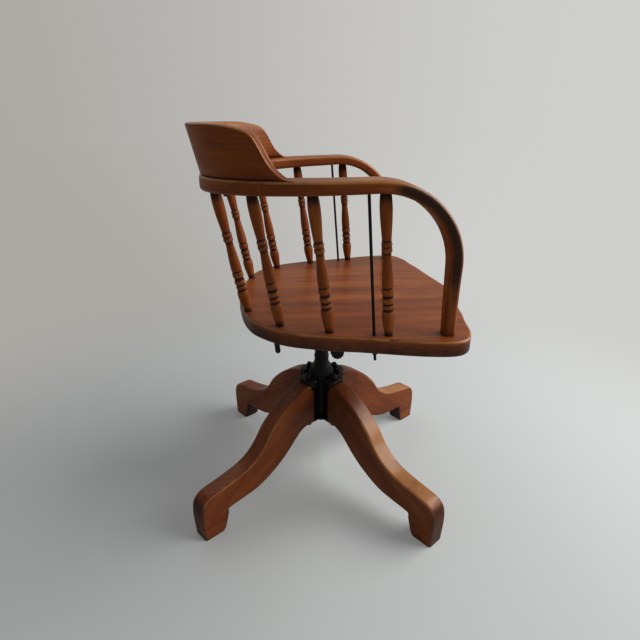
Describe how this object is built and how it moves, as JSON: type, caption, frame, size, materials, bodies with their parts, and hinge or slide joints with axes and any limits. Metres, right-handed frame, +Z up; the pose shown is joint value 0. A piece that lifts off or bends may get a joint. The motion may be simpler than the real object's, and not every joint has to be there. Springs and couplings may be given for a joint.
{
  "type": "bankers swivel chair",
  "caption": "Wooden bankers swivel chair with bent arms, turned spindles and a raised crest, on an iron tilt and screw mechanism over sawn wooden legs.",
  "frame": {"origin": "on the floor, under the swivel axis", "axes": "+Z up along the swivel axis, the chair faces -Y, the sitter's right is -X"},
  "size_m": [0.5436, 0.5436, 0.763],
  "materials": {
    "seat_wood": "worn satin varnish over reddish brown stain",
    "frame_wood": "satin varnish over reddish brown stain",
    "leg_wood": "satin varnish over reddish brown stain, grain along the leg",
    "black_iron": "cast iron with worn black paint",
    "dark_steel": "dark oiled steel"
  },
  "bodies": {
    "base": {"leg_rear_left": "leg_wood", "leg_rear_right": "leg_wood", "leg_front_right": "leg_wood", "leg_front_left": "leg_wood", "hub_casting": "black_iron", "hub_foot_plate": "black_iron", "leg_bolt_rear_left": "black_iron", "leg_bolt_rear_right": "black_iron", "leg_bolt_front_right": "black_iron", "leg_bolt_front_left": "black_iron", "leg_nut_rear_left": "black_iron", "leg_nut_rear_right": "black_iron", "leg_nut_front_right": "black_iron", "leg_nut_front_left": "black_iron"},
    "washer": {"thrust_washer": "dark_steel"},
    "wheel": {"hand_wheel": "black_iron"},
    "column": {"screw_spindle": "dark_steel", "tilt_head": "black_iron", "head_pin": "dark_steel"},
    "seat": {"seat_board": "seat_wood", "arm_left": "frame_wood", "arm_right": "frame_wood", "back_rail": "frame_wood", "crest_rail": "frame_wood", "spindle_rear_left": "frame_wood", "spindle_rear_side_left": "frame_wood", "spindle_middle_left": "frame_wood", "spindle_front_side_left": "frame_wood", "spindle_rear_right": "frame_wood", "spindle_rear_side_right": "frame_wood", "spindle_middle_right": "frame_wood", "spindle_front_side_right": "frame_wood", "tie_rod_left": "black_iron", "tie_rod_right": "black_iron", "rod_washer_left": "black_iron", "rod_washer_right": "black_iron", "rod_nut_left": "black_iron", "rod_nut_right": "black_iron", "crest_screw_1_left": "dark_steel", "crest_screw_1_right": "dark_steel", "crest_screw_2_left": "dark_steel", "crest_screw_2_right": "dark_steel", "rail_dowel_left": "frame_wood", "rail_dowel_right": "frame_wood", "seat_iron": "black_iron", "seat_iron_screw_1_left": "dark_steel", "seat_iron_screw_1_right": "dark_steel", "seat_iron_screw_2_left": "dark_steel", "seat_iron_screw_2_right": "dark_steel", "pivot_pin": "dark_steel", "cap_nut_left": "black_iron", "cap_nut_right": "black_iron", "pivot_washer_left": "dark_steel", "pivot_washer_right": "dark_steel", "tilt_bolt": "dark_steel", "tilt_nut": "black_iron", "spring_cup": "black_iron", "tilt_spring": "dark_steel"}
  },
  "joints": [
    {"name": "swivel", "type": "hinge", "parent": "base", "child": "washer", "pos_m": [0, 0, 0.2453], "axis": [0, 0, 1], "continuous": true},
    {"name": "height", "type": "slide", "parent": "washer", "child": "column", "axis": [0, 0, 1], "range_m": [0, 0.075]},
    {"name": "hand_wheel_turn", "type": "hinge", "parent": "washer", "child": "wheel", "pos_m": [0, 0, 0.2453], "axis": [0, 0, 1], "range_deg": [-4501, 0]},
    {"name": "tilt", "type": "hinge", "parent": "column", "child": "seat", "pos_m": [0, -0.0265, 0.327], "axis": [-1, 0, 0], "range_deg": [0, 12], "stiffness_Nm_per_rad": 120, "springref_deg": -8.59, "deforming": ["tilt_spring"]}
  ],
  "couplings": [
    {"joint": "hand_wheel_turn", "follows": "height", "rad_per_m": -1047.2}
  ]
}
